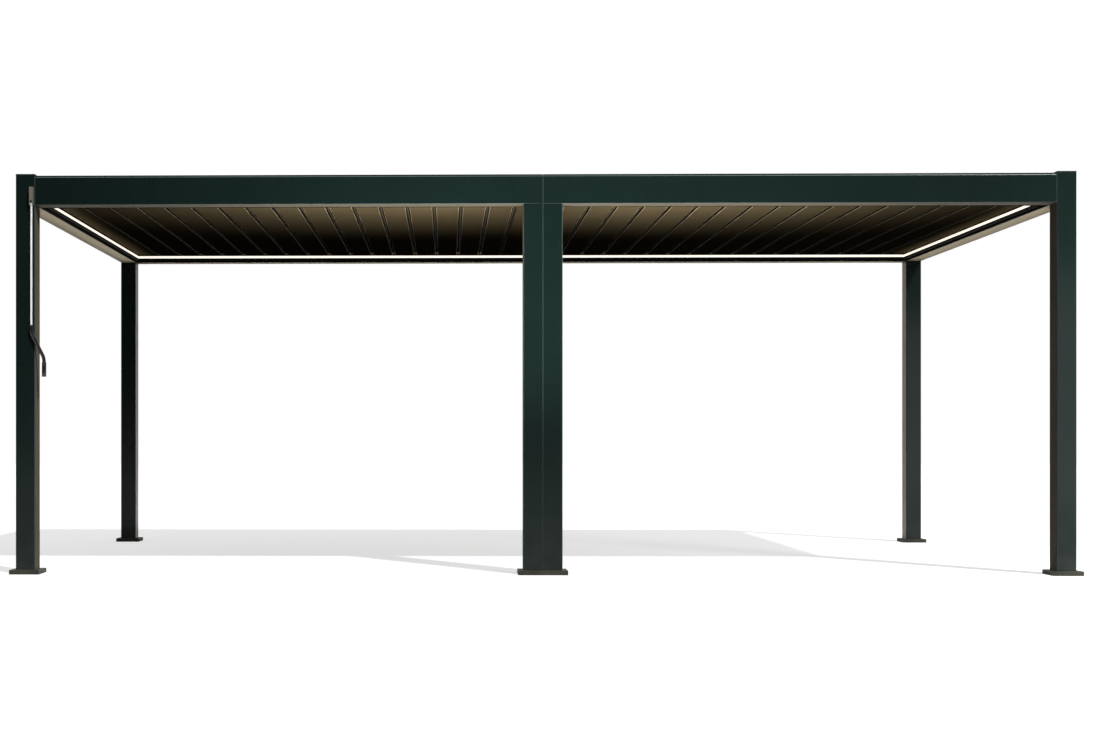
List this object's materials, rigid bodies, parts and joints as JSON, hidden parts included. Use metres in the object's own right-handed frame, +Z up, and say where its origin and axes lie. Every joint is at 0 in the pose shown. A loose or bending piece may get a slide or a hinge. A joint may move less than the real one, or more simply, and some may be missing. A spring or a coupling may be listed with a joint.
{
  "type": "louvered pergola",
  "caption": "Open rectangular garden pergola with square posts, deep beams, two bays of tilting roof louvres, light strips and a hand crank.",
  "frame": {"origin": "on the ground, in the middle of the footprint", "axes": "+X to the right along the width seen from the front, +Y from the front to the rear, +Z up"},
  "size_m": [6.06, 3.06, 2.279],
  "materials": {
    "green_coat": "very dark green powder coat, satin with a fine texture",
    "bronze_coat": "bronze khaki powder coat, satin",
    "light_diffuser": "lit warm white diffuser",
    "socket_metal": "khaki grey coated casting",
    "bright_rod": "bright plated rod",
    "black_handle": "black moulded grip and coated arm"
  },
  "bodies": {
    "frame": {"front_left_post": "green_coat", "front_right_post": "green_coat", "rear_left_post": "green_coat", "rear_right_post": "green_coat", "middle_posts": "green_coat", "post_feet": "green_coat", "post_caps": "green_coat", "front_left_beam": "green_coat", "front_right_beam": "green_coat", "rear_beam": "green_coat", "left_side_beam": "green_coat", "right_side_beam": "green_coat", "centre_beam": "bronze_coat", "light_channels": "bronze_coat", "light_strips": "light_diffuser", "left_pivot_rails": "bronze_coat", "right_pivot_rails": "bronze_coat", "crank_socket": "socket_metal", "roof_flashings": "bronze_coat"},
    "crank": {"crank_rod": "bright_rod", "crank_handle": "black_handle"},
    "left_louvre_01": {"left_louvre_01": "bronze_coat"},
    "left_louvre_02": {"left_louvre_02": "bronze_coat"},
    "left_louvre_03": {"left_louvre_03": "bronze_coat"},
    "left_louvre_04": {"left_louvre_04": "bronze_coat"},
    "left_louvre_05": {"left_louvre_05": "bronze_coat"},
    "left_louvre_06": {"left_louvre_06": "bronze_coat"},
    "left_louvre_07": {"left_louvre_07": "bronze_coat"},
    "left_louvre_08": {"left_louvre_08": "bronze_coat"},
    "left_louvre_09": {"left_louvre_09": "bronze_coat"},
    "left_louvre_10": {"left_louvre_10": "bronze_coat"},
    "left_louvre_11": {"left_louvre_11": "bronze_coat"},
    "left_louvre_12": {"left_louvre_12": "bronze_coat"},
    "left_louvre_13": {"left_louvre_13": "bronze_coat"},
    "left_louvre_14": {"left_louvre_14": "bronze_coat"},
    "left_louvre_15": {"left_louvre_15": "bronze_coat"},
    "left_louvre_16": {"left_louvre_16": "bronze_coat"},
    "left_louvre_17": {"left_louvre_17": "bronze_coat"},
    "right_louvre_01": {"right_louvre_01": "bronze_coat"},
    "right_louvre_02": {"right_louvre_02": "bronze_coat"},
    "right_louvre_03": {"right_louvre_03": "bronze_coat"},
    "right_louvre_04": {"right_louvre_04": "bronze_coat"},
    "right_louvre_05": {"right_louvre_05": "bronze_coat"},
    "right_louvre_06": {"right_louvre_06": "bronze_coat"},
    "right_louvre_07": {"right_louvre_07": "bronze_coat"},
    "right_louvre_08": {"right_louvre_08": "bronze_coat"},
    "right_louvre_09": {"right_louvre_09": "bronze_coat"},
    "right_louvre_10": {"right_louvre_10": "bronze_coat"},
    "right_louvre_11": {"right_louvre_11": "bronze_coat"},
    "right_louvre_12": {"right_louvre_12": "bronze_coat"},
    "right_louvre_13": {"right_louvre_13": "bronze_coat"},
    "right_louvre_14": {"right_louvre_14": "bronze_coat"},
    "right_louvre_15": {"right_louvre_15": "bronze_coat"},
    "right_louvre_16": {"right_louvre_16": "bronze_coat"},
    "right_louvre_17": {"right_louvre_17": "bronze_coat"}
  },
  "joints": [
    {"name": "crank_swing", "type": "hinge", "parent": "frame", "child": "crank", "pos_m": [-2.907, -1.5135, 2.108], "axis": [-1, 0, 0], "range_deg": [0, 40]},
    {"name": "left_louvre_01_tilt", "type": "hinge", "parent": "frame", "child": "left_louvre_01", "pos_m": [-2.78, 0, 2.163], "axis": [0, -1, 0], "range_deg": [0, 90]},
    {"name": "left_louvre_02_tilt", "type": "hinge", "parent": "frame", "child": "left_louvre_02", "pos_m": [-2.62, 0, 2.163], "axis": [0, -1, 0], "range_deg": [0, 90]},
    {"name": "left_louvre_03_tilt", "type": "hinge", "parent": "frame", "child": "left_louvre_03", "pos_m": [-2.46, 0, 2.163], "axis": [0, -1, 0], "range_deg": [0, 90]},
    {"name": "left_louvre_04_tilt", "type": "hinge", "parent": "frame", "child": "left_louvre_04", "pos_m": [-2.3, 0, 2.163], "axis": [0, -1, 0], "range_deg": [0, 90]},
    {"name": "left_louvre_05_tilt", "type": "hinge", "parent": "frame", "child": "left_louvre_05", "pos_m": [-2.14, 0, 2.163], "axis": [0, -1, 0], "range_deg": [0, 90]},
    {"name": "left_louvre_06_tilt", "type": "hinge", "parent": "frame", "child": "left_louvre_06", "pos_m": [-1.98, 0, 2.163], "axis": [0, -1, 0], "range_deg": [0, 90]},
    {"name": "left_louvre_07_tilt", "type": "hinge", "parent": "frame", "child": "left_louvre_07", "pos_m": [-1.82, 0, 2.163], "axis": [0, -1, 0], "range_deg": [0, 90]},
    {"name": "left_louvre_08_tilt", "type": "hinge", "parent": "frame", "child": "left_louvre_08", "pos_m": [-1.66, 0, 2.163], "axis": [0, -1, 0], "range_deg": [0, 90]},
    {"name": "left_louvre_09_tilt", "type": "hinge", "parent": "frame", "child": "left_louvre_09", "pos_m": [-1.5, 0, 2.163], "axis": [0, -1, 0], "range_deg": [0, 90]},
    {"name": "left_louvre_10_tilt", "type": "hinge", "parent": "frame", "child": "left_louvre_10", "pos_m": [-1.34, 0, 2.163], "axis": [0, -1, 0], "range_deg": [0, 90]},
    {"name": "left_louvre_11_tilt", "type": "hinge", "parent": "frame", "child": "left_louvre_11", "pos_m": [-1.18, 0, 2.163], "axis": [0, -1, 0], "range_deg": [0, 90]},
    {"name": "left_louvre_12_tilt", "type": "hinge", "parent": "frame", "child": "left_louvre_12", "pos_m": [-1.02, 0, 2.163], "axis": [0, -1, 0], "range_deg": [0, 90]},
    {"name": "left_louvre_13_tilt", "type": "hinge", "parent": "frame", "child": "left_louvre_13", "pos_m": [-0.86, 0, 2.163], "axis": [0, -1, 0], "range_deg": [0, 90]},
    {"name": "left_louvre_14_tilt", "type": "hinge", "parent": "frame", "child": "left_louvre_14", "pos_m": [-0.7, 0, 2.163], "axis": [0, -1, 0], "range_deg": [0, 90]},
    {"name": "left_louvre_15_tilt", "type": "hinge", "parent": "frame", "child": "left_louvre_15", "pos_m": [-0.54, 0, 2.163], "axis": [0, -1, 0], "range_deg": [0, 90]},
    {"name": "left_louvre_16_tilt", "type": "hinge", "parent": "frame", "child": "left_louvre_16", "pos_m": [-0.38, 0, 2.163], "axis": [0, -1, 0], "range_deg": [0, 90]},
    {"name": "left_louvre_17_tilt", "type": "hinge", "parent": "frame", "child": "left_louvre_17", "pos_m": [-0.22, 0, 2.163], "axis": [0, -1, 0], "range_deg": [0, 90]},
    {"name": "right_louvre_01_tilt", "type": "hinge", "parent": "frame", "child": "right_louvre_01", "pos_m": [0.22, 0, 2.163], "axis": [0, -1, 0], "range_deg": [0, 90]},
    {"name": "right_louvre_02_tilt", "type": "hinge", "parent": "frame", "child": "right_louvre_02", "pos_m": [0.38, 0, 2.163], "axis": [0, -1, 0], "range_deg": [0, 90]},
    {"name": "right_louvre_03_tilt", "type": "hinge", "parent": "frame", "child": "right_louvre_03", "pos_m": [0.54, 0, 2.163], "axis": [0, -1, 0], "range_deg": [0, 90]},
    {"name": "right_louvre_04_tilt", "type": "hinge", "parent": "frame", "child": "right_louvre_04", "pos_m": [0.7, 0, 2.163], "axis": [0, -1, 0], "range_deg": [0, 90]},
    {"name": "right_louvre_05_tilt", "type": "hinge", "parent": "frame", "child": "right_louvre_05", "pos_m": [0.86, 0, 2.163], "axis": [0, -1, 0], "range_deg": [0, 90]},
    {"name": "right_louvre_06_tilt", "type": "hinge", "parent": "frame", "child": "right_louvre_06", "pos_m": [1.02, 0, 2.163], "axis": [0, -1, 0], "range_deg": [0, 90]},
    {"name": "right_louvre_07_tilt", "type": "hinge", "parent": "frame", "child": "right_louvre_07", "pos_m": [1.18, 0, 2.163], "axis": [0, -1, 0], "range_deg": [0, 90]},
    {"name": "right_louvre_08_tilt", "type": "hinge", "parent": "frame", "child": "right_louvre_08", "pos_m": [1.34, 0, 2.163], "axis": [0, -1, 0], "range_deg": [0, 90]},
    {"name": "right_louvre_09_tilt", "type": "hinge", "parent": "frame", "child": "right_louvre_09", "pos_m": [1.5, 0, 2.163], "axis": [0, -1, 0], "range_deg": [0, 90]},
    {"name": "right_louvre_10_tilt", "type": "hinge", "parent": "frame", "child": "right_louvre_10", "pos_m": [1.66, 0, 2.163], "axis": [0, -1, 0], "range_deg": [0, 90]},
    {"name": "right_louvre_11_tilt", "type": "hinge", "parent": "frame", "child": "right_louvre_11", "pos_m": [1.82, 0, 2.163], "axis": [0, -1, 0], "range_deg": [0, 90]},
    {"name": "right_louvre_12_tilt", "type": "hinge", "parent": "frame", "child": "right_louvre_12", "pos_m": [1.98, 0, 2.163], "axis": [0, -1, 0], "range_deg": [0, 90]},
    {"name": "right_louvre_13_tilt", "type": "hinge", "parent": "frame", "child": "right_louvre_13", "pos_m": [2.14, 0, 2.163], "axis": [0, -1, 0], "range_deg": [0, 90]},
    {"name": "right_louvre_14_tilt", "type": "hinge", "parent": "frame", "child": "right_louvre_14", "pos_m": [2.3, 0, 2.163], "axis": [0, -1, 0], "range_deg": [0, 90]},
    {"name": "right_louvre_15_tilt", "type": "hinge", "parent": "frame", "child": "right_louvre_15", "pos_m": [2.46, 0, 2.163], "axis": [0, -1, 0], "range_deg": [0, 90]},
    {"name": "right_louvre_16_tilt", "type": "hinge", "parent": "frame", "child": "right_louvre_16", "pos_m": [2.62, 0, 2.163], "axis": [0, -1, 0], "range_deg": [0, 90]},
    {"name": "right_louvre_17_tilt", "type": "hinge", "parent": "frame", "child": "right_louvre_17", "pos_m": [2.78, 0, 2.163], "axis": [0, -1, 0], "range_deg": [0, 90]}
  ],
  "couplings": [
    {"joint": "left_louvre_02_tilt", "follows": "left_louvre_01_tilt", "ratio": 1},
    {"joint": "left_louvre_03_tilt", "follows": "left_louvre_01_tilt", "ratio": 1},
    {"joint": "left_louvre_04_tilt", "follows": "left_louvre_01_tilt", "ratio": 1},
    {"joint": "left_louvre_05_tilt", "follows": "left_louvre_01_tilt", "ratio": 1},
    {"joint": "left_louvre_06_tilt", "follows": "left_louvre_01_tilt", "ratio": 1},
    {"joint": "left_louvre_07_tilt", "follows": "left_louvre_01_tilt", "ratio": 1},
    {"joint": "left_louvre_08_tilt", "follows": "left_louvre_01_tilt", "ratio": 1},
    {"joint": "left_louvre_09_tilt", "follows": "left_louvre_01_tilt", "ratio": 1},
    {"joint": "left_louvre_10_tilt", "follows": "left_louvre_01_tilt", "ratio": 1},
    {"joint": "left_louvre_11_tilt", "follows": "left_louvre_01_tilt", "ratio": 1},
    {"joint": "left_louvre_12_tilt", "follows": "left_louvre_01_tilt", "ratio": 1},
    {"joint": "left_louvre_13_tilt", "follows": "left_louvre_01_tilt", "ratio": 1},
    {"joint": "left_louvre_14_tilt", "follows": "left_louvre_01_tilt", "ratio": 1},
    {"joint": "left_louvre_15_tilt", "follows": "left_louvre_01_tilt", "ratio": 1},
    {"joint": "left_louvre_16_tilt", "follows": "left_louvre_01_tilt", "ratio": 1},
    {"joint": "left_louvre_17_tilt", "follows": "left_louvre_01_tilt", "ratio": 1},
    {"joint": "right_louvre_02_tilt", "follows": "right_louvre_01_tilt", "ratio": 1},
    {"joint": "right_louvre_03_tilt", "follows": "right_louvre_01_tilt", "ratio": 1},
    {"joint": "right_louvre_04_tilt", "follows": "right_louvre_01_tilt", "ratio": 1},
    {"joint": "right_louvre_05_tilt", "follows": "right_louvre_01_tilt", "ratio": 1},
    {"joint": "right_louvre_06_tilt", "follows": "right_louvre_01_tilt", "ratio": 1},
    {"joint": "right_louvre_07_tilt", "follows": "right_louvre_01_tilt", "ratio": 1},
    {"joint": "right_louvre_08_tilt", "follows": "right_louvre_01_tilt", "ratio": 1},
    {"joint": "right_louvre_09_tilt", "follows": "right_louvre_01_tilt", "ratio": 1},
    {"joint": "right_louvre_10_tilt", "follows": "right_louvre_01_tilt", "ratio": 1},
    {"joint": "right_louvre_11_tilt", "follows": "right_louvre_01_tilt", "ratio": 1},
    {"joint": "right_louvre_12_tilt", "follows": "right_louvre_01_tilt", "ratio": 1},
    {"joint": "right_louvre_13_tilt", "follows": "right_louvre_01_tilt", "ratio": 1},
    {"joint": "right_louvre_14_tilt", "follows": "right_louvre_01_tilt", "ratio": 1},
    {"joint": "right_louvre_15_tilt", "follows": "right_louvre_01_tilt", "ratio": 1},
    {"joint": "right_louvre_16_tilt", "follows": "right_louvre_01_tilt", "ratio": 1},
    {"joint": "right_louvre_17_tilt", "follows": "right_louvre_01_tilt", "ratio": 1}
  ]
}
